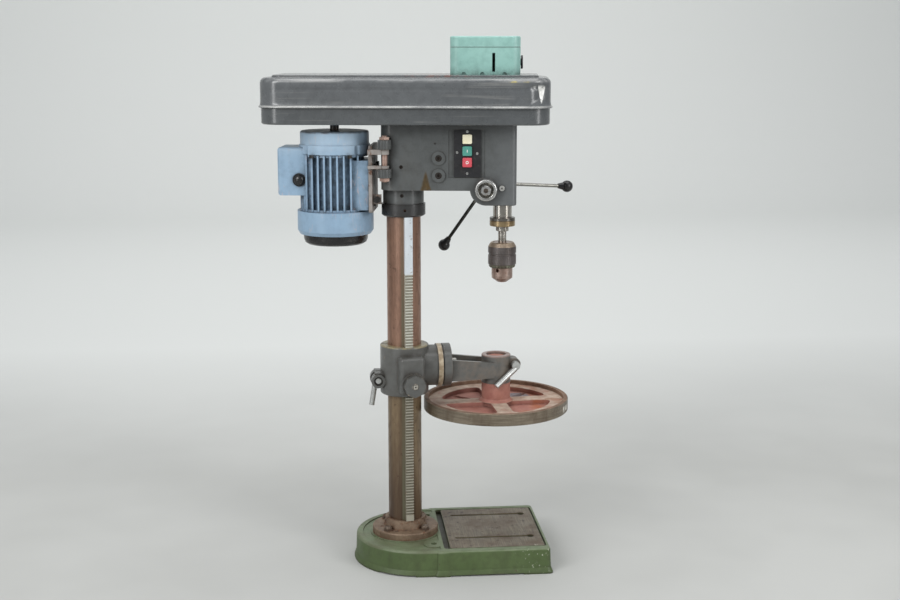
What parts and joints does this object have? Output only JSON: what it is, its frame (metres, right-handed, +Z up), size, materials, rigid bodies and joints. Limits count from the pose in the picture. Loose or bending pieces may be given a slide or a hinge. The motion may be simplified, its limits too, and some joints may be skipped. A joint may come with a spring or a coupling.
{
  "type": "drill press",
  "caption": "Bench drill press: cast base, round column with lifting rack, tilting round table, geared quill head with chuck, belt guard, control box and vertical motor.",
  "frame": {"origin": "where the column's axis meets the floor, on the underside of the base's cross ribs", "axes": "+Z up the column; +X from the column towards the base's work surface, where the operator stands; +Y towards the operator's right, where the feed handles are"},
  "size_m": [0.6813, 0.3251, 1.136],
  "materials": {
    "green_paint": "chipped oil-stained paint with machined faces",
    "raw_casting": "brown rusted casting",
    "rusty_bolts": "dark rusted steel",
    "column_steel": "rust-stained ground tube",
    "black_casting": "worn black",
    "rack_steel": "oiled milled steel",
    "bracket_grey": "worn gloss paint on casting",
    "machined_steel": "turned, slightly tarnished",
    "zinc_steel": "zinc plated",
    "table_iron": "machined rim, red primer underneath",
    "head_grey": "hammered dark grey paint",
    "black_screws": "blackened",
    "black_panel": "matte",
    "yellow_lens": "translucent look",
    "green_button": "gloss",
    "red_button": "gloss",
    "brown_brass": "tarnished",
    "rusty_jaw_steel": "light rust",
    "chuck_steel": "dark knurled",
    "black_plastic": "worn gloss",
    "chrome_cap": "scuffed",
    "pulley_aluminium": "turned",
    "belt_rubber": "matte",
    "guard_grey": "gloss paint worn bright on edges",
    "sea_green": "satin enamel",
    "motor_blue": "satin enamel",
    "worn_plate": "chipped paint and rust",
    "rusty_rod": "light rust"
  },
  "bodies": {
    "stand": {"base_casting": "green_paint", "column_flange": "raw_casting", "flange_bolts": "rusty_bolts", "column_tube": "column_steel", "rack_ring": "black_casting"},
    "rack": {"lift_rack": "rack_steel"},
    "bracket": {"table_bracket": "bracket_grey", "tilt_bolt": "machined_steel"},
    "lift_gear": {"lift_gear": "machined_steel"},
    "lift_worm": {"lift_worm": "machined_steel"},
    "column_lock": {"column_lock_lever": "zinc_steel"},
    "arm": {"table_arm": "bracket_grey"},
    "table_lock": {"table_lock_lever": "zinc_steel"},
    "table": {"round_table": "table_iron"},
    "head": {"head_casting": "head_grey", "head_screws": "black_screws", "switch_plate": "black_panel", "switch_screws": "zinc_steel", "power_lamp": "yellow_lens", "spring_cap": "chrome_cap", "return_spring": "machined_steel", "sleeve_bearings": "machined_steel", "guard_pan": "guard_grey", "guard_hinge": "machined_steel", "hinge_rod": "rusty_rod"},
    "quill": {"quill": "machined_steel", "quill_collar": "brown_brass", "spindle_bearings": "machined_steel"},
    "spindle": {"spindle": "machined_steel", "spindle_nut": "machined_steel", "chuck_arbor": "machined_steel", "chuck_body": "rusty_jaw_steel"},
    "chuck_sleeve": {"chuck_sleeve": "chuck_steel"},
    "jaw_1": {"chuck_jaw_1": "rusty_jaw_steel"},
    "jaw_2": {"chuck_jaw_2": "rusty_jaw_steel"},
    "jaw_3": {"chuck_jaw_3": "rusty_jaw_steel"},
    "feed": {"feed_shaft": "machined_steel", "feed_hub": "black_casting", "feed_spokes": "machined_steel", "feed_knobs": "black_plastic", "spring_cap_nut": "chrome_cap"},
    "pulley": {"drive_sleeve": "machined_steel", "spindle_pulley": "pulley_aluminium"},
    "belt": {"drive_belt": "belt_rubber"},
    "motor": {"motor_body": "motor_blue", "motor_end_shield": "motor_blue", "motor_fan_cowl": "motor_blue", "motor_end_cap": "black_plastic", "terminal_box": "motor_blue", "cable_gland": "black_plastic", "motor_plate": "worn_plate", "motor_bolts": "black_screws"},
    "rotor": {"motor_rotor": "black_screws", "motor_pulley": "pulley_aluminium"},
    "lid": {"guard_lid": "guard_grey", "control_box": "sea_green", "control_box_lid": "sea_green"},
    "control_knob": {"control_knob": "black_plastic"},
    "start_button": {"start_button": "green_button"},
    "stop_button": {"stop_button": "red_button"}
  },
  "joints": [
    {"name": "rack_swing", "type": "hinge", "parent": "stand", "child": "rack", "pos_m": [0, 0, 0.4], "axis": [0, 0, 1], "continuous": true},
    {"name": "table_lift", "type": "slide", "parent": "rack", "child": "bracket", "axis": [0, 0, 1], "range_m": [-0.18221, 0.13823]},
    {"name": "lift_gear_turn", "type": "hinge", "parent": "bracket", "child": "lift_gear", "pos_m": [0.0103, -0.05555, 0.427], "axis": [0.9833, 0.1822, 0], "range_deg": [-570, 750]},
    {"name": "lift_worm_turn", "type": "hinge", "parent": "bracket", "child": "lift_worm", "pos_m": [0.01458, -0.07866, 0.405], "axis": [0.1822, -0.9833, 0], "range_deg": [-8000, 10500]},
    {"name": "column_lock_turn", "type": "hinge", "parent": "bracket", "child": "column_lock", "pos_m": [-0.058, 0.033, 0.403], "axis": [0, 1, 0], "range_deg": [0, 90]},
    {"name": "table_tilt", "type": "hinge", "parent": "bracket", "child": "arm", "pos_m": [0.08978, 0.00628, 0.43], "axis": [0.9976, 0.0698, 0], "range_deg": [-45, 45]},
    {"name": "table_lock_turn", "type": "hinge", "parent": "arm", "child": "table_lock", "pos_m": [0.24141, 0.01688, 0.4275], "axis": [-0.0698, 0.9976, 0], "range_deg": [-60, 0]},
    {"name": "table_turn", "type": "hinge", "parent": "arm", "child": "table", "pos_m": [0.20251, 0.01416, 0.4], "axis": [0, 0, 1], "continuous": true},
    {"name": "head_swing", "type": "hinge", "parent": "stand", "child": "head", "pos_m": [0, 0, 0.86], "axis": [0, 0, 1], "range_deg": [-90, 90]},
    {"name": "quill_feed", "type": "slide", "parent": "head", "child": "quill", "axis": [0, 0, 1], "range_m": [-0.0754, 0], "stiffness_N_per_m": 500, "springref_m": 0.12},
    {"name": "feed_turn", "type": "hinge", "parent": "head", "child": "feed", "pos_m": [0.17577, -0.0247, 0.822], "axis": [0.1392, 0.9903, 0], "range_deg": [-2, 290]},
    {"name": "spindle_spin", "type": "hinge", "parent": "quill", "child": "spindle", "pos_m": [0.20895, -0.02937, 0.8], "axis": [0, 0, 1], "continuous": true},
    {"name": "pulley_spin", "type": "hinge", "parent": "head", "child": "pulley", "pos_m": [0.20895, -0.02937, 0.94], "axis": [0, 0, 1], "continuous": true},
    {"name": "motor_spin", "type": "hinge", "parent": "motor", "child": "rotor", "pos_m": [-0.14428, 0.02028, 0.85], "axis": [0, 0, 1], "continuous": true},
    {"name": "motor_swing", "type": "hinge", "parent": "head", "child": "motor", "pos_m": [-0.04298, -0.06869, 0.885], "axis": [0, 0, 1], "range_deg": [-5, 0]},
    {"name": "belt_swing", "type": "hinge", "parent": "head", "child": "belt", "pos_m": [0.20895, -0.02937, 1.012], "axis": [0, 0, 1], "range_deg": [-2, 0.1]},
    {"name": "chuck_open", "type": "hinge", "parent": "spindle", "child": "chuck_sleeve", "pos_m": [0.20895, -0.02937, 0.67], "axis": [0, 0, 1], "range_deg": [0, 3600]},
    {"name": "jaw_1_slide", "type": "slide", "parent": "spindle", "child": "jaw_1", "axis": [0.2556, 0.1033, 0.9613], "range_m": [0, 0.02]},
    {"name": "jaw_2_slide", "type": "slide", "parent": "spindle", "child": "jaw_2", "axis": [-0.2172, 0.1697, 0.9613], "range_m": [0, 0.02]},
    {"name": "jaw_3_slide", "type": "slide", "parent": "spindle", "child": "jaw_3", "axis": [-0.0384, -0.273, 0.9613], "range_m": [0, 0.02]},
    {"name": "lid_open", "type": "hinge", "parent": "head", "child": "lid", "pos_m": [0.01684, 0.11982, 0.9915], "axis": [-0.9903, 0.1392, 0], "range_deg": [0, 75]},
    {"name": "control_turn", "type": "hinge", "parent": "lid", "child": "control_knob", "pos_m": [0.2446, -0.03438, 1.083], "axis": [0.9903, -0.1392, 0], "range_deg": [0, 90]},
    {"name": "start_press", "type": "slide", "parent": "head", "child": "start_button", "axis": [0.1392, 0.9903, 0], "range_m": [0, 0.003], "stiffness_N_per_m": 300},
    {"name": "stop_press", "type": "slide", "parent": "head", "child": "stop_button", "axis": [0.1392, 0.9903, 0], "range_m": [0, 0.003], "stiffness_N_per_m": 300}
  ],
  "couplings": [
    {"joint": "lift_gear_turn", "follows": "table_lift", "rad_per_m": -71.429},
    {"joint": "lift_worm_turn", "follows": "table_lift", "rad_per_m": -1000},
    {"joint": "feed_turn", "follows": "quill_feed", "rad_per_m": -66.667},
    {"joint": "pulley_spin", "follows": "spindle_spin", "ratio": 1},
    {"joint": "motor_spin", "follows": "spindle_spin", "ratio": 1.5588},
    {"joint": "belt_swing", "follows": "motor_swing", "ratio": 0.3117},
    {"joint": "jaw_1_slide", "follows": "chuck_open", "m_per_rad": 0.00031831},
    {"joint": "jaw_2_slide", "follows": "chuck_open", "m_per_rad": 0.00031831},
    {"joint": "jaw_3_slide", "follows": "chuck_open", "m_per_rad": 0.00031831}
  ]
}
